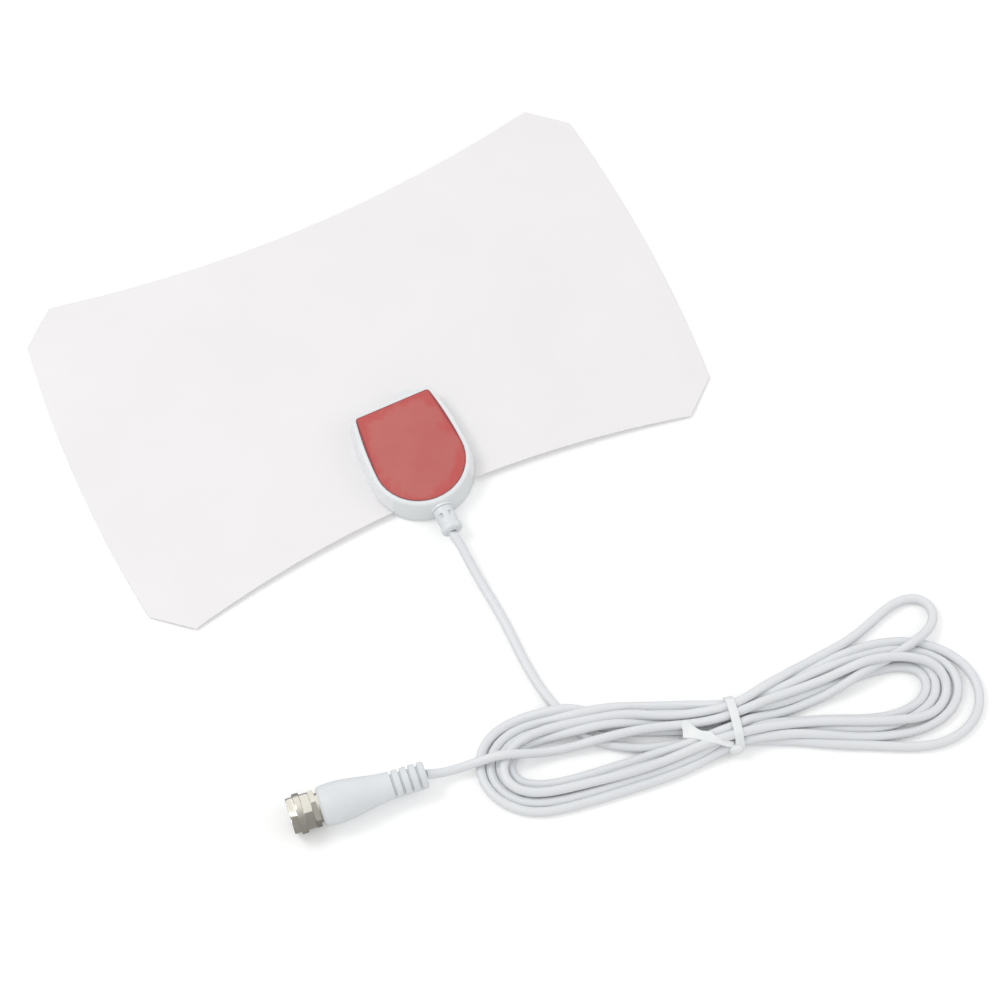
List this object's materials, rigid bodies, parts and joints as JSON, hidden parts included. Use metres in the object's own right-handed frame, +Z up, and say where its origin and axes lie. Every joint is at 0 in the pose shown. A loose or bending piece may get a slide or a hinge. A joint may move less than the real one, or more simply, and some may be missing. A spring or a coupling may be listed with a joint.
{
  "type": "indoor tv antenna",
  "caption": "Flat white film indoor television antenna with a round-ended adhesive housing and a folded, tied coaxial lead ending in a screw-on plug.",
  "frame": {"origin": "centre of the film panel, on the surface that it lies on", "axes": "+X along the panel's long way, -Y towards the cable's exit, +Z up, out of the adhesive pad"},
  "size_m": [0.2303, 0.2685, 0.0133],
  "materials": {
    "film_white": "matt laminated plastic film",
    "shell_white": "satin moulded plastic",
    "foam_white": "soft closed-cell foam",
    "liner_red": "waxed release paper",
    "relief_white": "soft moulded plastic",
    "board_green": "solder mask",
    "tin": "tinned metal",
    "ferrite": "dull sintered ferrite",
    "copper_wire": "enamelled copper wire",
    "chip_tan": "glazed ceramic chips",
    "cord_white": "satin flexible vinyl",
    "core_ivory": "natural polyethylene",
    "tie_white": "soft translucent strip",
    "nickel": "bright nickel plating",
    "pin_copper": "copper-clad wire"
  },
  "bodies": {
    "antenna": {"antenna_film": "film_white", "back_shell": "shell_white", "front_cover": "shell_white", "adhesive_pad": "foam_white", "release_liner": "liner_red", "cable_grommet": "relief_white", "circuit_board": "board_green", "contact_rivets": "tin", "balun_core": "ferrite", "balun_winding": "copper_wire", "chip_capacitors": "chip_tan", "cable_tail": "cord_white", "cable_braid": "tin", "cable_core": "core_ivory", "solder_joints": "tin", "lead_cord": "cord_white", "cord_hank": "cord_white", "cord_tie": "tie_white", "plug_cord": "cord_white", "plug_boot": "relief_white", "plug_cable_end": "cord_white", "connector_body": "nickel", "plug_insulator": "core_ivory", "center_pin": "pin_copper"},
    "nut": {"coupling_nut": "nickel"}
  },
  "joints": [
    {"name": "nut_spin", "type": "hinge", "parent": "antenna", "child": "nut", "pos_m": [-0.086, -0.139, 0.00665], "axis": [-0.9925, 0.1219, 0], "continuous": true}
  ]
}
